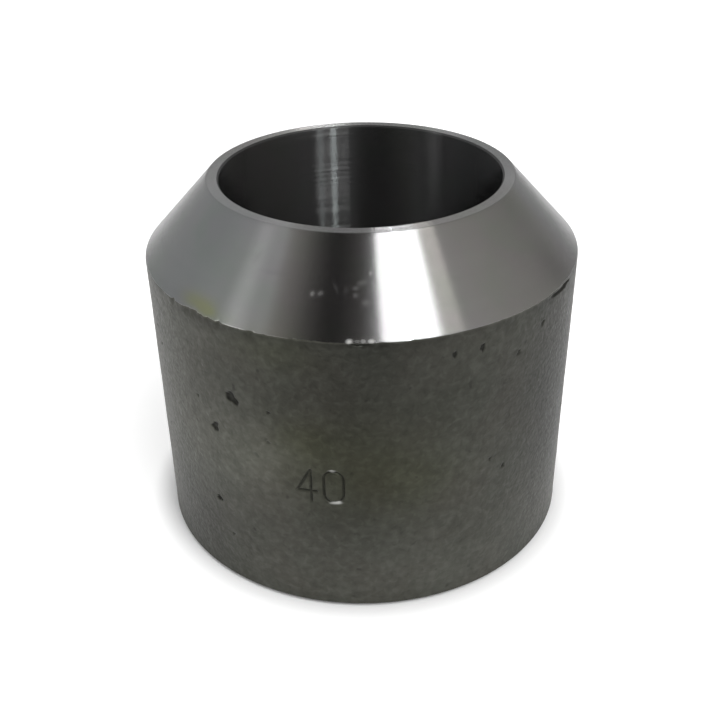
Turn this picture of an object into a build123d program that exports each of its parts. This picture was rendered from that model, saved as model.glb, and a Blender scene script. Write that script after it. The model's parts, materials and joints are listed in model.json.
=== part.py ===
"""Threaded pipe boss, one solid of forged steel, nominal pipe size 1 1/2.

The boss stands on its threaded end. Its other end, on top, is a bevel for a weld,
with a narrow flat land round the mouth of a smooth bore. The axis is +Z and the
origin is the centre of the bottom face. All lengths are in millimetres.
"""

import math
import os

from build123d import *

# Outside
BODY_DIAMETER = 64.0
TOTAL_HEIGHT = 54.7
BEVEL_HEIGHT = 10.5
LAND_OUTER_DIAMETER = 44.6

# Smooth bore, the inside diameter of the pipe that the boss leads to
BORE_DIAMETER = 41.0

# Parallel pipe thread Rp 1 1/2: the hole is bored to the thread's minor diameter,
# and the mouth is opened to just over its major diameter
THREAD_MINOR_DIAMETER = 44.845
THREAD_MAJOR_DIAMETER = 47.803
THREAD_CHAMBER_DEPTH = 25.0
MOUTH_CLEARANCE = 0.3
MOUTH_ANGLE = 45.0
SHOULDER_ANGLE = 45.0

# Small edge breaks that the tools leave
BASE_EDGE_CHAMFER = 0.6
BEVEL_EDGE_RADIUS = 0.4
LAND_EDGE_RADIUS = 0.2
BORE_EDGE_CHAMFER = 0.25

# Radii and heights that follow from the dimensions above
BODY_RADIUS = BODY_DIAMETER / 2
LAND_RADIUS = LAND_OUTER_DIAMETER / 2
BORE_RADIUS = BORE_DIAMETER / 2
CHAMBER_RADIUS = THREAD_MINOR_DIAMETER / 2
MOUTH_RADIUS = THREAD_MAJOR_DIAMETER / 2 + MOUTH_CLEARANCE
BEVEL_START = TOTAL_HEIGHT - BEVEL_HEIGHT
MOUTH_DEPTH = (MOUTH_RADIUS - CHAMBER_RADIUS) / math.tan(math.radians(MOUTH_ANGLE))
SHOULDER_DEPTH = (CHAMBER_RADIUS - BORE_RADIUS) / math.tan(math.radians(SHOULDER_ANGLE))
BORE_START = THREAD_CHAMBER_DEPTH + SHOULDER_DEPTH


def wall_section():
    """The section of the wall on one side of the axis, radius along X and height along Z."""
    base_corner = (BODY_RADIUS, 0)
    bevel_corner = (BODY_RADIUS, BEVEL_START)
    land_corner = (LAND_RADIUS, TOTAL_HEIGHT)
    bore_corner = (BORE_RADIUS, TOTAL_HEIGHT)
    with BuildSketch(Plane.XZ) as section:
        with BuildLine():
            Polyline(
                (MOUTH_RADIUS, 0),
                base_corner,
                bevel_corner,
                land_corner,
                bore_corner,
                (BORE_RADIUS, BORE_START),
                (CHAMBER_RADIUS, THREAD_CHAMBER_DEPTH),
                (CHAMBER_RADIUS, MOUTH_DEPTH),
                close=True,
            )
        make_face()
        chamfer(corner(section, base_corner), BASE_EDGE_CHAMFER)
        fillet(corner(section, bevel_corner), BEVEL_EDGE_RADIUS)
        fillet(corner(section, land_corner), LAND_EDGE_RADIUS)
        chamfer(corner(section, bore_corner), BORE_EDGE_CHAMFER)
    return section.sketch


def corner(section, point):
    """The corner of the section that is nearest to a point given as radius and height."""
    place = Vector(point[0], 0, point[1])
    corners = section.vertices().sort_by_distance(place)
    return corners[0]


def make_boss():
    """The whole boss, turned about its axis."""
    with BuildPart() as boss:
        add(wall_section())
        revolve(axis=Axis.Z)
    return boss.part


os.makedirs("parts", exist_ok=True)
export_step(make_boss(), "parts/boss.step")
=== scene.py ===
"""The looks of the threaded pipe boss: its dressed mesh, materials, camera, stage and lights.

The one solid is replaced by a mesh of the same form, which adds the helical thread, the stamped
number, the pits and the unevenness of the forged skin. Lengths are in millimetres and angles in
degrees where nothing else is said. An angle round the axis is 0 at the front, towards -Y, and
grows towards +X.
"""

import json
import math
import random

import bmesh
import bpy
import numpy as np
from mathutils import Matrix, Vector, noise


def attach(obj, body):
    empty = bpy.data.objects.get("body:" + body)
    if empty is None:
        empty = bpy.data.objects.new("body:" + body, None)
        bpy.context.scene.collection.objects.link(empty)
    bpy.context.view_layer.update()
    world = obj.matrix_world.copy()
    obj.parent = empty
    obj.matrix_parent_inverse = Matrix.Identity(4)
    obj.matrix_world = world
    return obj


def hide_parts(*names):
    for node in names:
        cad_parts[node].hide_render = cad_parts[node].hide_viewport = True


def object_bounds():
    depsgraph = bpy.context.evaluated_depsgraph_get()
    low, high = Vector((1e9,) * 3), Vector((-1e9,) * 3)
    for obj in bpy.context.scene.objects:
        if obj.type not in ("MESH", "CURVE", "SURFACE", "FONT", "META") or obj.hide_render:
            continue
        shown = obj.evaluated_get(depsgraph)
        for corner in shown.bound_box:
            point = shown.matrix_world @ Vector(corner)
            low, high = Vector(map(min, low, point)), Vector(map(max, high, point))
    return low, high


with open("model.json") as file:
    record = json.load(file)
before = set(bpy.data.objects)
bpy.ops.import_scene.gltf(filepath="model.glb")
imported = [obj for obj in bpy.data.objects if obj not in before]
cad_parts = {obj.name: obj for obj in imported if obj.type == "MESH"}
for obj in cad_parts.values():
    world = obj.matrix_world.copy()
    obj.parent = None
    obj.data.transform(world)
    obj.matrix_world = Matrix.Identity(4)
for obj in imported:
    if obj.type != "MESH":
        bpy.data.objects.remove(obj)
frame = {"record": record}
cad_low, cad_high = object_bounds()

MM = 0.001


def mount(name):
    """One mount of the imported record."""
    return next(m for m in frame["record"]["mounts"] if m["name"] == name)


# The boss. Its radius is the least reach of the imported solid, so that the mesh stays inside it.
# What the frame doesn't give is as in the part's source, but for the edge between the wall and
# the bevel, which starts sharper here because wear rounds it further
BODY_RADIUS = min(cad_high.x, cad_high.y, -cad_low.x, -cad_low.y) / MM
TOTAL_HEIGHT = cad_high.z / MM
BORE_RADIUS = mount("weld_end_bore")["dims"]["r_mm"]
CHAMBER_RADIUS = mount("pipe_thread")["dims"]["r_mm"]
BEVEL_HEIGHT = 10.5
LAND_RADIUS = 22.3
CHAMBER_DEPTH = 25.0
MOUTH_RADIUS = 24.2
BASE_CHAMFER = 0.6
BORE_CHAMFER = 0.25
BEVEL_EDGE_ROUND = 0.3
LAND_EDGE_ROUND = 0.2
BEVEL_START = TOTAL_HEIGHT - BEVEL_HEIGHT
BEVEL_SLOPE = BEVEL_HEIGHT / (BODY_RADIUS - LAND_RADIUS)

# Pipe thread, right-hand, with its run-out at the end of the chamber. The flank angle is taken
# from a line square to the axis
INCH = 25.4
TURNS_PER_INCH = 11
PITCH = INCH / TURNS_PER_INCH
FLANK_ANGLE = 27.5
ROOT_ROUND = 0.137 * PITCH
THREAD_DEPTH = 0.64 * PITCH
THREAD_ROOT_RADIUS = CHAMBER_RADIUS + THREAD_DEPTH
RUN_OUT_START = 20.3
RUN_OUT_SLOPE = 0.5

# Columns of cells round the axis, and how far apart the rows of cells lie on each stretch
COLUMNS = 228
FACE_SPACING = 1.2
CHAMFER_SPACING = 0.3
WALL_SPACING = 0.6
BEVEL_SPACING = 0.6
LAND_SPACING = 0.5
BORE_SPACING = 1.6
STEP_SPACING = 0.9
BEVEL_ROUND_STEPS = 4
LAND_ROUND_STEPS = 3
SHARP_EDGE_ANGLE = 38
MERGE_DISTANCE = 0.001

# How many times cells are halved at small marks and along the worn shoulder, and how far round
# each place. A mark's reach is a share of its length, and the margin halves with the cells
FINE_LEVELS = 3
LONG_MARK = 3.0
LONG_MARK_LEVELS = 2
SHOULDER_LEVELS = 2
FINE_MARGIN = 0.7
FINE_SHARE = 0.6
SHOULDER_REACH = 0.35
NUMBER_REACH = 1.5
NUMBER_STEPS = (-2.4, -0.8, 0.8, 2.4)
NUMBER_RISES = (-1.4, 0, 1.4)

# Stamped number: its centre, its size and its strokes. The 4 has its stem and its bar at shares
# of the half width and half height, and a stroke fades out over a share of its width
MARK_ANGLE = -10.9
MARK_HEIGHT = 21.6
MARK_DIGIT_HEIGHT = 5.2
MARK_DIGIT_WIDTH = 2.7
MARK_GAP = 1.0
MARK_STROKE = 0.46
MARK_DEPTH = 0.25
MARK_FADE = 0.75
# How dark the stamped strokes are painted, as a share of their depth: painted shade in the number
NUMBER_SHADE = 0.4
FOUR_STEM = 0.4
FOUR_BAR = -0.35

# Pits and scars in the skin's front: angle, height, length, width, slant and depth
FRONT_PITS = (
    (-33.4, 33.0, 2.5, 1.5, -36, 0.35),
    (-40.0, 27.0, 1.7, 1.3, 70, 0.3),
    (-41.1, 14.1, 1.2, 0.9, -15, 0.28),
    (-23.1, 32.4, 0.7, 0.6, 0, 0.12),
    (-23.7, 27.5, 0.8, 0.7, 0, 0.08),
    (-37.0, 8.5, 0.8, 0.6, 30, 0.1),
    (-45.5, 30.8, 0.7, 0.6, 0, 0.1),
    (21.3, 41.1, 1.1, 0.7, 80, 0.16),
    (28.7, 41.1, 1.3, 0.8, 80, 0.18),
    (40.2, 38.1, 1.0, 0.7, 60, 0.12),
    (49.1, 40.6, 1.1, 0.8, 60, 0.14),
    (37.5, 20.3, 0.9, 0.6, 80, 0.15),
    (32.9, 22.5, 0.8, 0.5, 70, 0.12),
    (-0.4, 43.98, 3.6, 0.45, 0, 0.14),
    (58.0, 43.6, 6.8, 0.65, 0, 0.3),
)

# A pit's outline has three large and five small lobes. Its floor reaches out to a share of its
# half size, and its side rises over another
LARGE_LOBES = 0.16
SMALL_LOBES = 0.1
PIT_FLOOR = 0.45
PIT_SIDE = 0.75

# Small pits scattered over the sides and the back: least and greatest values. The width and the
# depth are shares of the length
SCATTERED_PITS = 34
SCATTER_SEED = 7
SCATTER_ANGLES = (62, 172)
SCATTER_HEIGHTS = (3, 42)
SCATTER_LENGTHS = (0.35, 1.0)
SCATTER_WIDTHS = (0.5, 0.9)
SCATTER_SLANTS = (-60, 60)
SCATTER_DEPTHS = (0.1, 0.22)

# Scuffs on the bevel, and painted glints along the shoulder and in the stamped number: angle, height,
# length, width, slant and strength
SCUFFS_AND_GLINTS = (
    # painted glints, beads along the shoulder
    (-3.0, 44.35, 1.0, 0.6, 0, 0.9),
    (-1.2, 44.4, 1.2, 0.35, 0, 0.25),
    (0.1, 44.4, 0.8, 0.45, 0, 0.45),
    (1.9, 44.4, 0.9, 0.45, 0, 0.8),
    # scuffs on the bevel
    (-12.9, 48.7, 0.9, 0.7, 0, 0.26),
    (-10.8, 48.8, 1.1, 0.6, 10, 0.2),
    (-6.9, 49.4, 1.4, 0.6, -50, 0.07),
    (-4.2, 49.2, 0.8, 0.8, 0, 0.07),
    (-1.7, 49.4, 1.2, 0.5, 0, 0.16),
    (-1.7, 48.7, 0.9, 0.6, 0, 0.16),
    (0.0, 49.9, 1.7, 0.6, 10, 0.13),
    (0.8, 48.0, 1.2, 0.7, 0, 0.12),
    (2.4, 50.8, 1.0, 0.35, 60, 0.2),
    # painted glints in the stamped number
    (-7.8, 24.35, 1.0, 0.5, 0, 0.9),
    (-7.0, 19.0, 1.6, 0.45, 8, 1.0),
)

# A spot's strength falls off outwards: how fast, and with what power of its distance squared
SPOT_FALL = 1.5
SPOT_POWER = 1.5

# Soft areas of the skin and the bevel that are lighter or darker, and olive stains: angle, height,
# reach along, reach up and amount. The skin's areas are partly its own blotches and partly painted
# light and shade, such as the darker front middle and the lighter left edge. The bevel's areas are
# partly marks and partly painted light: a highlight on the back of the rim and a darker reflection on
# the right
SKIN_PATCHES_AND_SHADE = (
    (-33, 24, 9, 6, 0.58),
    (-35, 26, 16, 20, 0.15),
    (-54, 6, 12, 11, -0.5),
    # painted sheen on the left edge
    (-58, 26, 7, 18, 0.28),
    (-45, 42, 14, 6, 0.12),
    # painted shade in the front middle
    (-3, 26, 10, 22, -0.2),
    (30, 22, 9, 9, 0.07),
    (38, 42, 9, 4, 0.1),
    (62, 25, 10, 30, -0.45),
    (-5, 19, 9, 6, -0.08),
)
BEVEL_MARKS_AND_LIGHT = (
    # painted highlight on the back of the rim
    (-160, 54.7, 9, 0.35, 0.9),
    # painted darker reflection on the bevel's right
    (60, 46, 4, 2.5, -0.16),
    (-24, 50.3, 2.6, 0.25, -0.08),
    (-32, 51.3, 0.5, 0.4, -0.12),
    (-52, 44.8, 8, 0.8, -0.06),
)
OLIVE_STAINS = (
    (-3, 26, 10, 8, 0.45),
    (10, 22, 8, 5, 0.3),
    (-14, 29, 4, 3, 0.3),
    (-20, 42, 6, 3, 0.3),
    (-44, 45.3, 2.6, 0.8, 0.9),
    (-39.5, 44.8, 2.4, 0.6, 0.9),
)

# Waves that make the edges of those areas uneven: their length, and how far they shift a place
# round the axis, in radians, and up
AREA_WAVE = 3.0
AREA_SHIFT_ROUND = 0.06
AREA_SHIFT_UP = 1.2
OLIVE_SHIFT_ROUND = 0.05

# Painted light and shade on the skin from its foot to the shoulder: lighter at the foot, where the
# skin mirrors the bright floor, and darker towards the shoulder. Heights and levels
PAINTED_SHADING_HEIGHTS = (0, 10, 20, 30, 36, 44)
PAINTED_SHADING_LEVELS = (1.2, 1.01, 0.85, 0.79, 0.77, 0.75)

# Dark band on the skin below the shoulder: its amount, what the worn side adds, and its reach
EDGE_SHADE = 0.1
EDGE_SHADE_WORN = 0.14
EDGE_SHADE_REACH = 1.3

# Unevenness of the forged skin: its mean depth, its waves as pairs of length and height, and over
# how long a run it sets in above the foot
SKIN_DEPTH = 0.04
SKIN_WAVES = ((9, 0.04), (2.2, 0.02))
FOOT_BLEND = 1.5

# Wear along the shoulder: waves of its nicks, its greatest depth, its least share, the angle
# where it is strongest, how far it spreads from there, and how far it reaches down from the edge.
# Over the worn band, on either side of the edge, what moves in also moves along the bevel's slope
NICK_WAVES = ((2.6, 0.34), (0.9, 0.22))
NICK_LIMIT = 0.42
LEAST_WEAR = 0.25
MOST_WORN_ANGLE = -42
WORN_SPREAD = 26
WEAR_REACH = 0.9
WORN_BAND = 1.0

# Material slots of the dressed mesh, and the values kept at its points
TURNED, BLASTED, THREADED, FACED, BORED = range(5)
KEPT_VALUES = ("run", "pit_dark_and_number_shade", "scuff_and_glint", "painted_light_and_tone", "olive")


# Outline of the section

def rounded(before, corner, after, radius, steps):
    """The points that round a corner. Points are complex: radius plus height times i."""
    way_in = (corner - before) / abs(corner - before)
    way_out = (after - corner) / abs(after - corner)
    turn = math.atan2((way_out / way_in).imag, (way_out / way_in).real)
    start = corner - way_in * radius * math.tan(abs(turn) / 2)
    side = math.copysign(1, turn) * 1j * way_in
    centre = start + side * radius
    return [centre + (start - centre) * np.exp(1j * turn * k / steps) for k in range(steps + 1)]


def divided(start, end, spacing):
    """Points along a straight stretch of the outline, without its end."""
    count = max(1, round(abs(end - start) / spacing))
    return [start + (end - start) * k / count for k in range(count)]


def outside_outline():
    """The outline from the thread's mouth, up the outside and down the bore to the chamber."""
    base_in = complex(MOUTH_RADIUS, 0)
    base_out = complex(BODY_RADIUS - BASE_CHAMFER, 0)
    wall_low = complex(BODY_RADIUS, BASE_CHAMFER)
    shoulder = complex(BODY_RADIUS, BEVEL_START)
    land_out = complex(LAND_RADIUS, TOTAL_HEIGHT)
    land_in = complex(BORE_RADIUS + BORE_CHAMFER, TOTAL_HEIGHT)
    bore_top = complex(BORE_RADIUS, TOTAL_HEIGHT - BORE_CHAMFER)
    bore_low = complex(BORE_RADIUS, CHAMBER_DEPTH + CHAMBER_RADIUS - BORE_RADIUS)
    chamber_top = complex(CHAMBER_RADIUS, CHAMBER_DEPTH)
    shoulder_round = rounded(wall_low, shoulder, land_out, BEVEL_EDGE_ROUND, BEVEL_ROUND_STEPS)
    land_round = rounded(shoulder, land_out, land_in, LAND_EDGE_ROUND, LAND_ROUND_STEPS)
    points = divided(base_in, base_out, FACE_SPACING)
    points += divided(base_out, wall_low, CHAMFER_SPACING)
    points += divided(wall_low, shoulder_round[0], WALL_SPACING)
    points += shoulder_round[:-1]
    points += divided(shoulder_round[-1], land_round[0], BEVEL_SPACING)
    points += land_round[:-1]
    points += divided(land_round[-1], land_in, LAND_SPACING)
    points += divided(land_in, bore_top, CHAMFER_SPACING)
    points += divided(bore_top, bore_low, BORE_SPACING)
    points += divided(bore_low, chamber_top, STEP_SPACING)
    points.append(chamber_top)
    return np.array(points)


def runs_along(points):
    """How far each point lies along the outline."""
    return np.concatenate([[0], np.cumsum(abs(np.diff(points)))])


# A row of the outline this close to the wall or the land lies on it
CLOSE = 1e-6

OUTLINE = outside_outline()
RUNS = runs_along(OUTLINE)
WALL_ROWS = np.flatnonzero(OUTLINE.real > BODY_RADIUS - CLOSE)
LAND_ROWS = np.flatnonzero(OUTLINE.imag > TOTAL_HEIGHT - CLOSE)
FOOT_RUN, SHOULDER_RUN = RUNS[WALL_ROWS[[0, -1]]]
LAND_OUT_RUN, LAND_IN_RUN = RUNS[LAND_ROWS[[0, -1]]]
ROUND_RUN = BEVEL_EDGE_ROUND * math.atan(1 / BEVEL_SLOPE)


def on_outline(run):
    """The radius and the height of the outline at each run along it."""
    return np.interp(run, RUNS, OUTLINE.real), np.interp(run, RUNS, OUTLINE.imag)


def outer_run(height):
    """The run along the outline of a height on the wall or the bevel."""
    rows = np.arange(WALL_ROWS[0], LAND_ROWS[0] + 1)
    return float(np.interp(height, OUTLINE.imag[rows], RUNS[rows]))


def surface_of(run):
    """The material slot of a face whose middle lies this far along the outline."""
    if FOOT_RUN < run < SHOULDER_RUN + ROUND_RUN / 2:
        return BLASTED
    if run < LAND_OUT_RUN:
        return TURNED
    return FACED if run < LAND_IN_RUN else BORED


# Marks in the surface

def smooth_step(value):
    """0 below 0, 1 above 1 and a smooth rise between."""
    t = np.clip(value, 0, 1)
    return t * t * (3 - 2 * t)


def distance_to_stroke(x, y, start, end):
    """Distance of points from a straight stroke."""
    along = np.array(end) - np.array(start)
    t = np.clip(((x - start[0]) * along[0] + (y - start[1]) * along[1]) / (along @ along), 0, 1)
    return np.hypot(x - start[0] - t * along[0], y - start[1] - t * along[1])


def distance_to_four(x, y):
    """Distance from the strokes of a 4 that fills a box one digit wide and high, centred on 0, 0."""
    w, h = MARK_DIGIT_WIDTH / 2, MARK_DIGIT_HEIGHT / 2
    stem_top = (FOUR_STEM * w, h)
    stem_foot = (FOUR_STEM * w, -h)
    bar_left = (-w, FOUR_BAR * h)
    bar_right = (w, FOUR_BAR * h)
    strokes = ((stem_top, bar_left), (bar_left, bar_right), (stem_top, stem_foot))
    return np.min([distance_to_stroke(x, y, a, b) for a, b in strokes], axis=0)


def distance_to_nought(x, y):
    """Distance from the line of a 0, whose sides are straight and whose ends are round."""
    w, h = MARK_DIGIT_WIDTH / 2, MARK_DIGIT_HEIGHT / 2
    beyond = np.clip(abs(y) - (h - w), 0, None)
    return abs(np.hypot(x, beyond) - w)


def mark_depth(across, up):
    """How deep the stamped number is at places given from its centre, along the wall and up."""
    half = (MARK_DIGIT_WIDTH + MARK_GAP) / 2
    nearest = np.minimum(distance_to_four(across + half, up), distance_to_nought(across - half, up))
    return MARK_DEPTH * (1 - smooth_step(nearest / (MARK_STROKE * MARK_FADE)))


def on_mark(across, up, angle, height, length, width, slant):
    """Places as shares of a mark's half length and half width, along it and across it."""
    x = across - math.radians(angle) * BODY_RADIUS
    y = up - height
    turn = math.radians(slant)
    along = (x * math.cos(turn) + y * math.sin(turn)) / (length / 2)
    beside = (y * math.cos(turn) - x * math.sin(turn)) / (width / 2)
    return along, beside


def pit_depth(across, up, pit):
    """How deep one pit is at places given from the front of the wall and from its foot."""
    *form, depth = pit
    angle, height = pit[:2]
    a, b = on_mark(across, up, *form)
    way = np.arctan2(b, a)
    lobes = 1 + LARGE_LOBES * np.sin(3 * way + height) + SMALL_LOBES * np.sin(5 * way + angle)
    return depth * (1 - smooth_step((np.hypot(a, b) / lobes - PIT_FLOOR) / PIT_SIDE))


def spot_strength(across, up, spot):
    """How strong one spot, a scuff or a painted glint, is round its centre."""
    *form, strength = spot
    a, b = on_mark(across, up, *form)
    return strength * np.exp(-SPOT_FALL * (a * a + b * b) ** SPOT_POWER)


def scattered_pits():
    """Small pits round the sides and the back, away from the sheet's seam, the same each time."""
    draw = random.Random(SCATTER_SEED)
    pits = []
    for _ in range(SCATTERED_PITS):
        angle = draw.choice((-1, 1)) * draw.uniform(*SCATTER_ANGLES)
        height = draw.uniform(*SCATTER_HEIGHTS)
        length = draw.uniform(*SCATTER_LENGTHS)
        width = length * draw.uniform(*SCATTER_WIDTHS)
        slant = draw.uniform(*SCATTER_SLANTS)
        depth = length * draw.uniform(*SCATTER_DEPTHS)
        pits.append((angle, height, length, width, slant, depth))
    return pits


PITS = list(FRONT_PITS) + scattered_pits()


# Wear of the surface, its tones, and the light and shade painted on it

def waves(points, length):
    """Smooth noise from about -1 to 1 at each point, with waves of about this length."""
    return np.array([noise.noise(Vector(p) / length) for p in points])


def wavy(points, start, layers):
    """A start value with layers of waves added, each a pair of length and height."""
    total = start
    for length, height in layers:
        total = total + height * waves(points, length)
    return total


def unevenness(points):
    """How far the forged skin lies inside its true cylinder, up to about a tenth of a millimetre."""
    return np.clip(wavy(points, SKIN_DEPTH, SKIN_WAVES), 0, None)


def worn_side(angle):
    """1 where the shoulder is most worn, and less towards the rest."""
    return np.exp(-((np.degrees(angle) - MOST_WORN_ANGLE) / WORN_SPREAD) ** 2)


def shoulder_wear(points, angle):
    """How far the edge between the skin and the bevel is worn in, with nicks."""
    nicks = np.clip(wavy(points, 0.0, NICK_WAVES), 0, NICK_LIMIT)
    return nicks * (LEAST_WEAR + (1 - LEAST_WEAR) * worn_side(angle))


def areas(angle, height, marks):
    """The sum of soft areas at places given by angle, in radians, and height."""
    total = np.zeros(len(angle))
    for centre, level, along, up, amount in marks:
        across = (angle - math.radians(centre)) * BODY_RADIUS
        total += amount * np.exp(-(across / along) ** 2 - ((height - level) / up) ** 2)
    return total


def painted_light_and_tone_of(points, angle, height, wall):
    """How light the steel is painted, where 1 is its plain colour. On the skin: painted light and
    shade from the foot to the shoulder, patches of its own tones, painted sheen and shade, and a
    darker band below the shoulder. Elsewhere: marks, a painted highlight and a painted reflection.
    """
    shift = waves(points, AREA_WAVE)
    moved_angle = angle + AREA_SHIFT_ROUND * shift
    moved_height = height + AREA_SHIFT_UP * shift
    shade = EDGE_SHADE + EDGE_SHADE_WORN * worn_side(angle)
    below_edge = shade * np.exp(-((BEVEL_START - moved_height) / EDGE_SHADE_REACH) ** 2)
    # painted light and shade from the foot to the shoulder
    plain = np.interp(height, PAINTED_SHADING_HEIGHTS, PAINTED_SHADING_LEVELS)
    # patches of the skin's own tones, with painted sheen and shade, and the darker band below the
    # shoulder
    skin = plain - below_edge + areas(moved_angle, moved_height, SKIN_PATCHES_AND_SHADE)
    # away from the skin: marks, with a painted highlight on the rim and a painted darker reflection on
    # the bevel
    return np.where(wall, skin, 1 + areas(angle, height, BEVEL_MARKS_AND_LIGHT))


# Mesh of the outside, from a flat sheet that is wrapped round the axis

def flat_sheet():
    """A sheet of quads: angle round the axis along X, as a length on the wall, and run along Y."""
    sheet = bmesh.new()
    half = math.pi * BODY_RADIUS
    rows = [
        [sheet.verts.new((half * (2 * i / COLUMNS - 1), run, 0)) for i in range(COLUMNS + 1)]
        for run in RUNS
    ]
    for low, high in zip(rows, rows[1:]):
        for i in range(COLUMNS):
            sheet.faces.new((low[i], low[i + 1], high[i + 1], high[i]))
    return sheet


def refine(sheet, places):
    """Halves the sheet's cells round each place, given as x, y, radius and how many times."""
    for level in range(max(times for *_, times in places)):
        margin = FINE_MARGIN / 2 ** level
        faces = list(sheet.faces)
        centres = np.array([f.calc_center_median()[:2] for f in faces])
        near = np.zeros(len(faces), bool)
        for x, y, reach, times in places:
            if level < times:
                near |= np.hypot(centres[:, 0] - x, centres[:, 1] - y) < reach + margin
        edges = {e for f, close in zip(faces, near) if close for e in f.edges}
        bmesh.ops.subdivide_edges(sheet, edges=list(edges), cuts=1, use_grid_fill=True)


def fine_places():
    """Where the sheet needs small cells: pits, scuffs and painted glints, the number and the worn
    shoulder.
    """
    places = []
    for angle, height, length, *_ in PITS + list(SCUFFS_AND_GLINTS):
        times = LONG_MARK_LEVELS if length > LONG_MARK else FINE_LEVELS
        across = math.radians(angle) * BODY_RADIUS
        places.append((across, outer_run(height), length * FINE_SHARE, times))
    centre = math.radians(MARK_ANGLE) * BODY_RADIUS
    for step in NUMBER_STEPS:
        for rise in NUMBER_RISES:
            run = outer_run(MARK_HEIGHT + rise)
            places.append((centre + step, run, NUMBER_REACH, FINE_LEVELS))
    column = 2 * math.pi * BODY_RADIUS / COLUMNS
    edge = outer_run(BEVEL_START)
    for i in range(COLUMNS):
        across = (i + 0.5 - COLUMNS / 2) * column
        places.append((across, edge, SHOULDER_REACH, SHOULDER_LEVELS))
    return places


def round_axis(radius, angle, height):
    """Points in space from their radius, their angle in radians and their height."""
    return np.stack([radius * np.sin(angle), -radius * np.cos(angle), height], axis=1)


def worn_in(around, angle, run, wall):
    """How far the uneven skin and the worn shoulder move each point, inward and up."""
    ring = round_axis(BODY_RADIUS, angle, 0 * angle)
    dip = unevenness(np.where(wall[:, None], around, ring + (0, 0, BEVEL_START)))
    dip = dip * smooth_step((run - FOOT_RUN) / FOOT_BLEND)
    dip = dip + shoulder_wear(ring, angle) * smooth_step(1 - (SHOULDER_RUN - run) / WEAR_REACH)
    past_edge = np.clip(1 - (run - SHOULDER_RUN - ROUND_RUN) / WORN_BAND, 0, 1)
    below_edge = np.clip(1 - (SHOULDER_RUN - run) / WORN_BAND, 0, 1)
    inward = dip * (run > FOOT_RUN) * past_edge
    upward = np.where(wall, below_edge * dip, inward) * BEVEL_SLOPE
    return inward, upward


def outside_form(angle, run):
    """Where each point of the sheet lies in space, and the values kept there."""
    radius, height = on_outline(run)
    wall = (run > FOOT_RUN) & (run <= SHOULDER_RUN)
    around = round_axis(radius, angle, height)
    inward, upward = worn_in(around, angle, run, wall)
    across = angle * BODY_RADIUS
    stamped = mark_depth(across - math.radians(MARK_ANGLE) * BODY_RADIUS, height - MARK_HEIGHT)
    pits = np.max([pit_depth(across, height, pit) for pit in PITS], axis=0) * wall
    olive_angle = angle + OLIVE_SHIFT_ROUND * waves(around, AREA_WAVE)
    values = {
        "run": run,
        # darker in the pits, and painted shade in the stamped number
        "pit_dark_and_number_shade": np.maximum(NUMBER_SHADE * stamped, pits),
        # scuffs, and painted glints on the shoulder and in the number
        "scuff_and_glint": np.max([spot_strength(across, height, spot) for spot in SCUFFS_AND_GLINTS], axis=0),
        # painted light and shade, with patches of the steel's tones
        "painted_light_and_tone": painted_light_and_tone_of(around, angle, height, wall),
        "olive": areas(olive_angle, height, OLIVE_STAINS),
    }
    radius = radius - inward - np.maximum(stamped * wall, pits)
    return round_axis(radius, angle, height + upward) * MM, values


def make_outside(target, layers):
    """Adds everything but the thread: face, wall, bevel, land and bore."""
    sheet = flat_sheet()
    refine(sheet, fine_places())
    flat = np.array([v.co[:2] for v in sheet.verts])
    places, values = outside_form(flat[:, 0] / BODY_RADIUS, flat[:, 1])
    made = []
    for i, place in enumerate(places):
        v = target.verts.new(place)
        for name, kept in values.items():
            v[layers[name]] = kept[i]
        made.append(v)
    sheet.verts.index_update()
    for f in sheet.faces:
        face = target.faces.new([made[v.index] for v in f.verts])
        face.material_index = surface_of(f.calc_center_median().y)
        face.smooth = True
    sheet.free()


# Mesh of the thread

def half_groove(radius):
    """Half the groove's width at a radius on its straight flanks."""
    rounding = ROOT_ROUND / math.sin(math.radians(FLANK_ANGLE)) - ROOT_ROUND
    return (THREAD_ROOT_RADIUS + rounding - radius) * math.tan(math.radians(FLANK_ANGLE))


def groove_rows():
    """The heights within one pitch, as shares of it, at which the thread's wall has a row."""
    crest = 0.5 - half_groove(CHAMBER_RADIUS) / PITCH
    root = 0.5 - ROOT_ROUND * math.cos(math.radians(FLANK_ANGLE)) / PITCH
    lower = [0.0, crest, root, (root + 0.5) / 2]
    return lower + [0.5] + [1 - share for share in reversed(lower[1:])]


def thread_radius(height, turn):
    """The radius of the threaded wall at a height and a part of a turn."""
    off = abs((height / PITCH - turn) % 1.0 - 0.5) * PITCH
    flank_angle = math.radians(FLANK_ANGLE)
    sharp = THREAD_ROOT_RADIUS + ROOT_ROUND / math.sin(flank_angle) - ROOT_ROUND
    flank = sharp - off / math.tan(flank_angle)
    inside = np.clip(ROOT_ROUND ** 2 - off ** 2, 0, None)
    root = THREAD_ROOT_RADIUS - ROOT_ROUND + np.sqrt(inside)
    groove = np.where(off < ROOT_ROUND * math.cos(flank_angle), root, flank)
    groove = groove - RUN_OUT_SLOPE * np.clip(height - RUN_OUT_START, 0, None)
    mouth = MOUTH_RADIUS - height
    return np.maximum(np.maximum(groove, mouth), CHAMBER_RADIUS)


def thread_column(target, layers, steps, turn):
    """Adds one column of points up the threaded wall. Steps are its rows, counted in turns."""
    angle = 2 * math.pi * turn - math.pi
    height = np.clip((steps + turn) * PITCH, 0, CHAMBER_DEPTH)
    radius = thread_radius(height, turn)
    column = []
    for h, r in zip(height, radius):
        v = target.verts.new((r * math.sin(angle) * MM, -r * math.cos(angle) * MM, h * MM))
        v[layers["run"]] = -h
        v[layers["painted_light_and_tone"]] = 1.0
        column.append(v)
    return column


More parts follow.
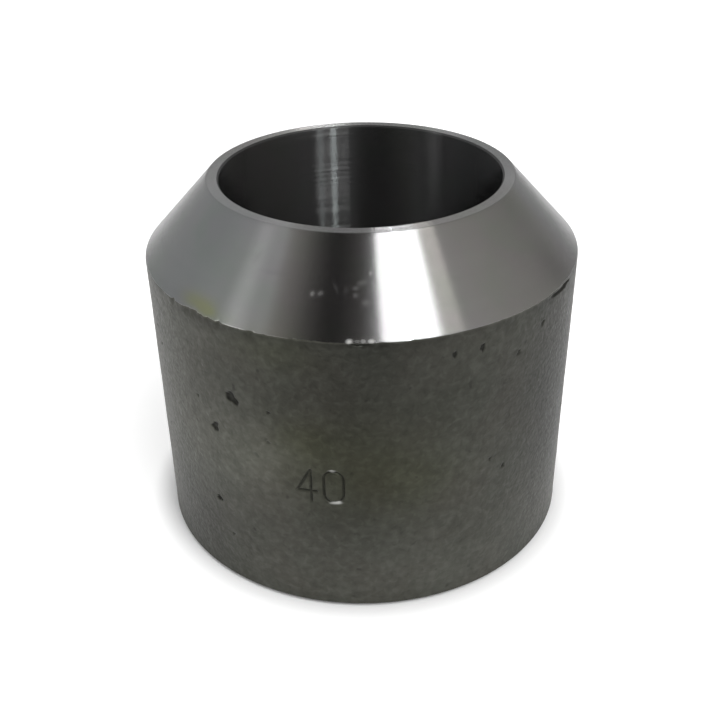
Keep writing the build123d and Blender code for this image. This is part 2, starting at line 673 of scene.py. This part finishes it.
def make_thread(target, layers):
    """Adds the threaded wall. Its rows climb with the helix, from a turn below the mouth to past
    the chamber's end, and those that would lie beyond either end lie on it."""
    shares = groove_rows()
    turns = range(-1, math.ceil(CHAMBER_DEPTH / PITCH) + 1)
    steps = np.array([turn + share for turn in turns for share in shares])
    columns = [thread_column(target, layers, steps, i / COLUMNS) for i in range(COLUMNS)]
    for i, column in enumerate(columns):
        shift = len(shares) if i == COLUMNS - 1 else 0
        other = columns[(i + 1) % COLUMNS][shift:]
        for j in range(len(other) - 1):
            face = target.faces.new((column[j + 1], other[j + 1], other[j], column[j]))
            face.material_index = THREADED
            face.smooth = True


def make_boss():
    """The whole dressed boss as one closed mesh."""
    joined = bmesh.new()
    layers = {name: joined.verts.layers.float.new(name) for name in KEPT_VALUES}
    make_outside(joined, layers)
    make_thread(joined, layers)
    bmesh.ops.remove_doubles(joined, verts=joined.verts, dist=MERGE_DISTANCE * MM)
    bmesh.ops.triangulate(joined, faces=[f for f in joined.faces if len(f.verts) > 4])
    mesh = bpy.data.meshes.new("boss_forging")
    joined.to_mesh(mesh)
    joined.free()
    mesh.set_sharp_from_angle(angle=math.radians(SHARP_EDGE_ANGLE))
    return bpy.data.objects.new("boss_forging", mesh)


# Materials

# Skin: two near greys in patches, and the colours that lie over them
SKIN_DARKER = (0.050, 0.051, 0.042, 1)
SKIN_LIGHTER = (0.062, 0.063, 0.053, 1)
BROWN_PATCH = (0.060, 0.055, 0.047, 1)
LIGHT_BLOTCH = (0.095, 0.097, 0.084, 1)
LIGHT_MOTTLE = (0.100, 0.102, 0.088, 1)
DARK_MOTTLE = (0.027, 0.028, 0.023, 1)
DARK_SPECK = (0.018, 0.018, 0.016, 1)
# dark of the pits, also used for the painted shade in the stamped number
PIT_AND_NUMBER_DARK = (0.012, 0.012, 0.010, 1)
SKIN_METAL = 0.85
GRAIN_SHARE = 0.25
SKIN_BUMP = 0.6
SKIN_BUMP_HEIGHT = 0.12

# Scuffed steel, also used for the painted glints, and how much of it reads as metal on the skin
SCUFF_AND_GLINT_STEEL = (0.55, 0.55, 0.53, 1)
SPOT_METAL = 0.3
SPOT_ROUGHNESS = 0.5

# Turned steel: its grooves, how long its bands are round the axis, and its tints. The bump is
# sampled far finer than a pixel, because its grooves are finer than one
GROOVE_SPACING = 0.08
GROOVE_FILTER = 0.01
BAND_WIDTH = 0.5
BAND_LENGTH = 60.0
GREEN_TINT = (0.93, 0.99, 0.93)
PURPLE_TINT = (1.0, 0.96, 1.0)
OLIVE_TINT = (1.0, 1.03, 0.66)


class Shader:
    """A short way to write the nodes of one material."""

    def __init__(self, name):
        self.material = bpy.data.materials.new(name)
        self.material.use_nodes = True
        self.tree = self.material.node_tree
        self.surface = self.tree.nodes["Principled BSDF"]

    def node(self, kind, inputs=None, **settings):
        """A node with its settings and its inputs, each a value or another node's socket."""
        made = self.tree.nodes.new(kind)
        for name, value in settings.items():
            setattr(made, name, value)
        self.feed(made, inputs or {})
        return made

    def feed(self, node, inputs):
        """Sets or links a node's inputs, given by name or number."""
        for name, value in inputs.items():
            if isinstance(value, bpy.types.NodeSocket):
                self.tree.links.new(value, node.inputs[name])
            else:
                node.inputs[name].default_value = value

    def place(self):
        """Where the shaded point is, in millimetres."""
        where = self.node("ShaderNodeTexCoord").outputs["Object"]
        inputs = {0: where, "Scale": 1 / MM}
        return self.node("ShaderNodeVectorMath", inputs, operation="SCALE").outputs[0]

    def value(self, name):
        """A value kept on the mesh."""
        return self.node("ShaderNodeAttribute", attribute_name=name).outputs["Fac"]

    def noise(self, where, size, detail=2.0, offset=(0, 0, 0), twist=0.0):
        """Noise from 0 to 1 whose blotches are about this size across. Twist bends them."""
        moved = self.node("ShaderNodeVectorMath", {0: where, 1: offset}, operation="ADD").outputs[0]
        inputs = {"Vector": moved, "Scale": 1 / size, "Detail": detail, "Distortion": twist}
        return self.node("ShaderNodeTexNoise", inputs).outputs["Fac"]

    def grooves(self, run, spacing):
        """Even grooves that run round the axis, from -1 to 1."""
        return self.maths("SINE", self.maths("MULTIPLY", run, 2 * math.pi / spacing), 0.0)

    def bands(self, run, width, length):
        """Noise from 0 to 1 in marks of this width and length that run round the axis."""
        x, y, _ = self.node("ShaderNodeSeparateXYZ", {0: self.place()}).outputs
        across = self.maths("MULTIPLY", x, width / length)
        along = self.maths("MULTIPLY", y, width / length)
        where = self.node("ShaderNodeCombineXYZ", {0: across, 1: along, 2: run}).outputs[0]
        return self.noise(where, width, detail=1.0)

    def ramp(self, value, start, end, low=0.0, high=1.0):
        """The value, carried from start and end to low and high, and held there."""
        inputs = {"Value": value, "From Min": start, "From Max": end, "To Min": low, "To Max": high}
        return self.node("ShaderNodeMapRange", inputs).outputs["Result"]

    def maths(self, operation, first, second):
        """One operation on two values."""
        return self.node("ShaderNodeMath", {0: first, 1: second}, operation=operation).outputs[0]

    def mix(self, share, first, second):
        """A colour between two colours."""
        made = self.node("ShaderNodeMix", {0: share, 6: first, 7: second}, data_type="RGBA")
        return made.outputs[2]

    def lit_and_toned(self, colour):
        """The colour made lighter or darker by the painted light and shade and the tones kept on the
        mesh, and olive where the mesh says it is stained.
        """
        painted_light_and_tone = {0: colour, "Scale": self.value("painted_light_and_tone")}
        scaled = self.node("ShaderNodeVectorMath", painted_light_and_tone, operation="SCALE").outputs[0]
        tint = {0: scaled, 1: OLIVE_TINT}
        olive = self.node("ShaderNodeVectorMath", tint, operation="MULTIPLY").outputs[0]
        return self.mix(self.value("olive"), scaled, olive)

    def levels(self, value, stops):
        """A grey level that follows the value through stops, each a value from 0 to 1 and a level."""
        made = self.node("ShaderNodeValToRGB", {0: value})
        bar = made.color_ramp.elements
        while len(bar) < len(stops):
            bar.new(0.5)
        for element, (place, level) in zip(bar, stops):
            element.position = place
            element.color = (level, level, level, 1)
        return made.outputs["Color"]

    def bump(self, height, strength, distance, width=0.1):
        """A bumpy normal. The distance is in metres, and the filter's width in pixels."""
        inputs = {
            "Height": height,
            "Strength": strength,
            "Distance": distance,
            "Filter Width": width,
        }
        return self.node("ShaderNodeBump", inputs).outputs["Normal"]

    def finish(self, **inputs):
        """Sets the shader's own sockets. Underscores stand for spaces."""
        self.feed(self.surface, {name.replace("_", " "): value for name, value in inputs.items()})
        return self.material


def grey(level, tint=(1.0, 1.0, 1.0)):
    """A grey in linear light, or a tinted one."""
    return (*(level * share for share in tint), 1.0)


def skin_colour(s, where, mottle):
    """The colour of the blasted skin before its painted light and shade and its tones, with brown,
    light and dark blotches.
    """
    patches = s.noise(where, size=11.0, detail=3.0)
    brown = s.noise(where, size=9.0, offset=(5, 0, 40))
    blotches = s.noise(where, size=2.6, detail=1.0, offset=(9, 9, 2))
    specks = s.noise(where, size=1.3, detail=1.0, offset=(31, 7, 0))
    colour = s.mix(s.ramp(patches, 0.35, 0.65), SKIN_DARKER, SKIN_LIGHTER)
    layers = (
        (s.ramp(brown, 0.4, 0.65, high=0.4), BROWN_PATCH),
        (s.ramp(blotches, 0.5, 0.75, high=0.24), LIGHT_BLOTCH),
        (s.ramp(mottle, 0.5, 0.75, high=0.4), LIGHT_MOTTLE),
        (s.ramp(mottle, 0.25, 0.46, low=0.32, high=0.0), DARK_MOTTLE),
        (s.ramp(specks, 0.70, 0.80, high=0.45), DARK_SPECK),
    )
    for share, layer in layers:
        colour = s.mix(share, colour, layer)
    return colour


def blasted_steel():
    """The shot-blasted forged skin: dark, matt and mottled, darker in its pits, with painted shade in
    the stamped number and painted glints.
    """
    s = Shader("blasted_steel")
    where = s.place()
    mottle = s.noise(where, size=1.0, detail=1.0, twist=0.4)
    grain = s.noise(where, size=0.5, detail=1.0)
    # painted light and shade, and the skin's tones, from the values kept on the mesh
    colour = s.lit_and_toned(skin_colour(s, where, mottle))
    # darker in the pits, and painted shade in the stamped number
    colour = s.mix(s.ramp(s.value("pit_dark_and_number_shade"), 0.02, 0.15, high=0.85), colour, PIT_AND_NUMBER_DARK)
    # scuffs and painted glints: lighter and less metallic
    scuff_and_glint = s.value("scuff_and_glint")
    height = s.maths("ADD", s.maths("MULTIPLY", grain, GRAIN_SHARE), mottle)
    return s.finish(
        Base_Color=s.mix(scuff_and_glint, colour, SCUFF_AND_GLINT_STEEL),
        Metallic=s.ramp(scuff_and_glint, 0, 1, SKIN_METAL, SPOT_METAL),
        Roughness=s.ramp(grain, 0.3, 0.7, low=0.43, high=0.55),
        Normal=s.bump(height, SKIN_BUMP, SKIN_BUMP_HEIGHT * MM),
    )


def turned_steel(name, level, contrast, roughness, slope, metal=1.0):
    """Steel as the tool leaves it. Its fine grooves run round the axis and draw highlights out
    across them, the more the greater the slope of their sides."""
    s = Shader(name)
    where = s.place()
    run = s.value("run")
    bands = s.bands(run, BAND_WIDTH, BAND_LENGTH)
    strengths = s.ramp(bands, 0.3, 0.7, low=0.9, high=1.1)
    grooves = s.maths("MULTIPLY", s.grooves(run, GROOVE_SPACING), strengths)
    clouds = s.noise(where, size=7.0)
    tints = s.noise(where, size=5.0, offset=(40, 3, 9))
    colour = s.mix(s.ramp(bands, 0.3, 0.7), grey(level * (1 - contrast)), grey(level * (1 + contrast)))
    colour = s.mix(s.ramp(clouds, 0.42, 0.62, high=0.7), colour, grey(level, GREEN_TINT))
    colour = s.mix(s.ramp(tints, 0.45, 0.65, high=0.6), colour, grey(level, PURPLE_TINT))
    # painted highlight and reflection come with the lighter and darker tones kept on the mesh; scuffs
    # and painted glints make the steel lighter, rougher and less metallic
    scuff_and_glint = s.value("scuff_and_glint")
    groove_height = slope * GROOVE_SPACING / (2 * math.pi)
    return s.finish(
        Base_Color=s.mix(scuff_and_glint, s.lit_and_toned(colour), SCUFF_AND_GLINT_STEEL),
        Metallic=s.ramp(scuff_and_glint, 0, 1, metal, 0.0),
        Roughness=s.ramp(scuff_and_glint, 0, 1, roughness, SPOT_ROUGHNESS),
        Anisotropic=1.0,
        Anisotropic_Rotation=0.25,
        Tangent=s.node("ShaderNodeTangent", direction_type="RADIAL", axis="Z").outputs[0],
        Normal=s.bump(grooves, 1.0, groove_height * MM, width=GROOVE_FILTER),
    )


def boss_materials():
    """The materials of the dressed mesh, in the order of its slots."""
    return [
        turned_steel("turned_steel", level=0.205, contrast=0.02, roughness=0.22, slope=0.1),
        blasted_steel(),
        turned_steel("cut_thread", level=0.16, contrast=0.1, roughness=0.30, slope=0.1),
        turned_steel("faced_steel", level=0.28, contrast=0.02, roughness=0.15, slope=1.0),
        # painted shade in the bore: its steel is much darker and less metallic than the turned steel
        # outside
        turned_steel("bored_steel_painted_dark", level=0.036, contrast=0.02, roughness=0.10, slope=0.68, metal=0.5),
    ]


# Camera

CAMERA_BACK = 138.1
CAMERA_HEIGHT = 105.9
CAMERA_TURN = -0.43
CAMERA_TILT = -30.9
CAMERA_ROLL = -1.02
CAMERA_NEAR = 10
IMAGE_WIDTH_PIXELS = 713
FOCAL_LENGTH_PIXELS = 999.3
SENSOR_WIDTH = 36.0


def make_camera():
    """The camera at the photograph's place, level and lens."""
    data = bpy.data.cameras.new("camera")
    data.sensor_width = SENSOR_WIDTH
    data.lens = SENSOR_WIDTH * FOCAL_LENGTH_PIXELS / IMAGE_WIDTH_PIXELS
    data.clip_start = CAMERA_NEAR * MM
    camera = bpy.data.objects.new("camera", data)
    turn = Matrix.Rotation(-math.radians(CAMERA_TURN), 4, "Z")
    tilt = Matrix.Rotation(math.pi / 2 + math.radians(CAMERA_TILT), 4, "X")
    roll = Matrix.Rotation(math.radians(CAMERA_ROLL), 4, "Z")
    place = Matrix.Translation((0, -CAMERA_BACK * MM, CAMERA_HEIGHT * MM))
    camera.matrix_world = place @ (turn @ tilt @ roll)
    bpy.context.scene.collection.objects.link(camera)
    bpy.context.scene.camera = camera


# Stage and lights. Here distances, widths and heights are in metres

FLOOR_HALF = 4.0
FLOOR_GREY = 0.8
FLOOR_LIFT = 0.56
WORLD_LIGHT = 0.55
LAMP_DISTANCE = 1.0

# How far from the axis, in millimetres, the floor starts to be lifted towards white, and is so in full
FLOOR_LIFT_START = BODY_RADIUS - 1
FLOOR_LIFT_END = BODY_RADIUS + 4

# Levels across each card, as pairs of place, from 0 at its left to 1 at its right, and level
FRONT_LEVELS = (
    (0.0, 0.66),
    (0.203, 0.41),
    (0.373, 0.18),
    (0.532, 0.06),
    (0.659, 0.055),
    (0.797, 0.12),
    (0.949, 0.2),
    (1.0, 0.25),
)
RIGHT_LEVELS = ((0.0, 1.0), (0.4, 0.77), (0.75, 0.52), (1.0, 0.56))
LEFT_LEVELS = ((0.0, 0.6), (0.35, 0.72), (0.8, 0.8), (1.0, 1.0))
BACK_LEVELS = ((0.0, 0.6), (1.0, 0.62))
RIGHT_LOW_LEVELS = ((0.0, 0.5), (1.0, 0.42))
LEFT_LOW_LEVELS = ((0.0, 0.55), (1.0, 0.65))
FRONT_LOW_LEVELS = ((0.0, 1.0), (0.3, 0.25), (0.7, 0.25), (1.0, 1.0))
STREAK_LEVELS = ((0.0, 0.0), (0.5, 1.0), (1.0, 0.0))
EVEN_LEVELS = ((0.0, 1.0), (1.0, 1.0))

FRONT_TINT = (1, 0.96, 0.9, 1)
RIGHT_TINT = (1, 0.97, 0.91, 1)
LEFT_TINT = (0.96, 1, 1, 1)
WARM_TINT = (1, 0.95, 0.88, 1)
BAR_TINT = (0.92, 1, 1, 1)
BLACK = (0, 0, 0, 1)
WHITE = (1, 1, 1, 1)


def direction(angle, rise):
    """The way towards a lamp, from its angle round the axis and its rise above the horizon."""
    turn, up = math.radians(angle), math.radians(rise)
    return Vector((math.sin(turn) * math.cos(up), -math.cos(turn) * math.cos(up), math.sin(up)))


def aimed(obj, angle, rise, distance, lean):
    """Puts a lamp or card at a place round the boss, facing it. Lean tips its top towards growing
    angles."""
    way = direction(angle, rise)
    obj.location = way * distance + Vector((0, 0, TOTAL_HEIGHT * MM / 2))
    turn = way.to_track_quat("Z", "Y").to_matrix() @ Matrix.Rotation(-math.radians(lean), 3, "Z")
    obj.rotation_euler = turn.to_euler()
    bpy.context.scene.collection.objects.link(obj)
    return obj


def make_lamp(name, angle, rise, width, height, radiance, lean):
    """A soft rectangular lamp."""
    data = bpy.data.lights.new(name, "AREA")
    data.shape = "RECTANGLE"
    data.size = width
    data.size_y = height
    data.energy = radiance * math.pi * width * height
    lamp = aimed(bpy.data.objects.new(name, data), angle, rise, LAMP_DISTANCE, lean)
    lamp.visible_camera = False


def flat_panel(name, half_width, half_height):
    """An object that is one flat rectangle, centred on its origin, facing its own Z."""
    w, h = half_width, half_height
    mesh = bpy.data.meshes.new(name)
    mesh.from_pydata([(-w, -h, 0), (w, -h, 0), (w, h, 0), (-w, h, 0)], [], [(0, 1, 2, 3)])
    return bpy.data.objects.new(name, mesh)


def make_floor():
    """A wide pale floor. Camera and mirror rays see it near white, and it keeps the shadow."""
    floor = flat_panel("floor", FLOOR_HALF, FLOOR_HALF)
    s = Shader("floor_paper")
    rays = s.node("ShaderNodeLightPath").outputs
    seen = s.maths("MAXIMUM", rays["Is Camera Ray"], rays["Is Glossy Ray"])
    seen = s.maths("MAXIMUM", seen, rays["Is Transmission Ray"])
    away = s.node("ShaderNodeVectorMath", {0: s.place()}, operation="LENGTH").outputs["Value"]
    lift = s.ramp(away, FLOOR_LIFT_START, FLOOR_LIFT_END, high=FLOOR_LIFT)
    s.finish(
        Base_Color=grey(FLOOR_GREY),
        Roughness=1.0,
        Specular_IOR_Level=0.0,
        Emission_Color=WHITE,
        Emission_Strength=s.maths("MULTIPLY", seen, lift),
    )
    floor.data.materials.append(s.material)
    bpy.context.scene.collection.objects.link(floor)


def make_card(name, angle, rise, distance, width, height, levels, lean=0.0, tint=WHITE, strength=1.0):
    """A studio card that only mirror rays see."""
    card = aimed(flat_panel(name, width / 2, height / 2), angle, rise, distance, lean)
    card.visible_camera = False
    card.visible_diffuse = False
    card.visible_shadow = False
    card.visible_transmission = False
    s = Shader(name)
    where = s.node("ShaderNodeTexCoord").outputs["Object"]
    x = s.node("ShaderNodeSeparateXYZ", {0: where}).outputs[0]
    level = s.levels(s.ramp(x, -width / 2, width / 2), levels)
    s.finish(
        Base_Color=BLACK,
        Roughness=1.0,
        Specular_IOR_Level=0.0,
        Emission_Color=s.mix(level, BLACK, tint),
        Emission_Strength=strength,
    )
    card.data.materials.append(s.material)


def make_world():
    """Plain ambient light, and white where the camera and mirrors look past the floor."""
    world = bpy.data.worlds.new("studio")
    world.use_nodes = True
    tree = world.node_tree
    background = tree.nodes["Background"]
    rays = tree.nodes.new("ShaderNodeLightPath").outputs
    seen = tree.nodes.new("ShaderNodeMath")
    seen.operation = "MAXIMUM"
    tree.links.new(rays["Is Camera Ray"], seen.inputs[0])
    tree.links.new(rays["Is Glossy Ray"], seen.inputs[1])
    strength = tree.nodes.new("ShaderNodeMapRange")
    strength.inputs["To Min"].default_value = WORLD_LIGHT
    strength.inputs["To Max"].default_value = 1.0
    tree.links.new(seen.outputs[0], strength.inputs["Value"])
    tree.links.new(strength.outputs["Result"], background.inputs["Strength"])
    background.inputs["Color"].default_value = WHITE
    bpy.context.scene.world = world


def make_large_cards():
    """The cards that the bevel, the land and the sides of the skin mirror."""
    make_card("front_card", angle=-28.6, rise=54, distance=0.9, width=0.675, height=1.9,
              levels=FRONT_LEVELS, lean=-15, tint=FRONT_TINT)
    make_card("right_card", angle=105, rise=32, distance=1.2, width=1.7, height=1.7,
              levels=RIGHT_LEVELS, tint=RIGHT_TINT)
    make_card("left_card", angle=-121, rise=25, distance=1.2, width=1.2, height=1.2,
              levels=LEFT_LEVELS, tint=LEFT_TINT)
    make_card("back_card", angle=180, rise=25, distance=1.35, width=2.4, height=1.3,
              levels=BACK_LEVELS)


def make_low_cards():
    """Small cards that stand close to the boss, at its own level."""
    make_card("right_low_card", angle=140, rise=0, distance=0.35, width=0.4, height=0.13,
              levels=RIGHT_LOW_LEVELS)
    make_card("left_low_card", angle=-140, rise=0, distance=0.35, width=0.4, height=0.13,
              levels=LEFT_LOW_LEVELS)
    make_card("low_card", angle=-3, rise=0, distance=0.11, width=0.13, height=0.05,
              levels=FRONT_LOW_LEVELS)


def make_bright_cards():
    """Narrow bright cards that draw the streaks in the bore and the edges of the window's light."""
    make_card("streak_card", angle=-66, rise=14, distance=0.95, width=0.36, height=0.36,
              levels=STREAK_LEVELS, lean=-10, strength=5.6)
    make_card("warm_card", angle=68.5, rise=59.4, distance=0.95, width=0.145, height=0.34,
              levels=EVEN_LEVELS, lean=39, tint=WARM_TINT, strength=3.6)
    make_card("window_bar", angle=27.4, rise=49.2, distance=0.95, width=0.036, height=0.36,
              levels=EVEN_LEVELS, lean=11, tint=BAR_TINT, strength=42)
    make_card("side_bar", angle=41.3, rise=48, distance=0.95, width=0.03, height=0.36,
              levels=EVEN_LEVELS, lean=16, tint=BAR_TINT, strength=17)


make_camera()
make_world()
make_floor()
make_lamp("window", angle=34, rise=56, width=0.41, height=0.50, radiance=8.0, lean=24)
make_large_cards()
make_low_cards()
make_bright_cards()

boss = make_boss()
for material in boss_materials():
    boss.data.materials.append(material)
bpy.context.scene.collection.objects.link(boss)
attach(boss, "root")
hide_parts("boss")

bpy.context.scene.view_settings.view_transform = "Standard"
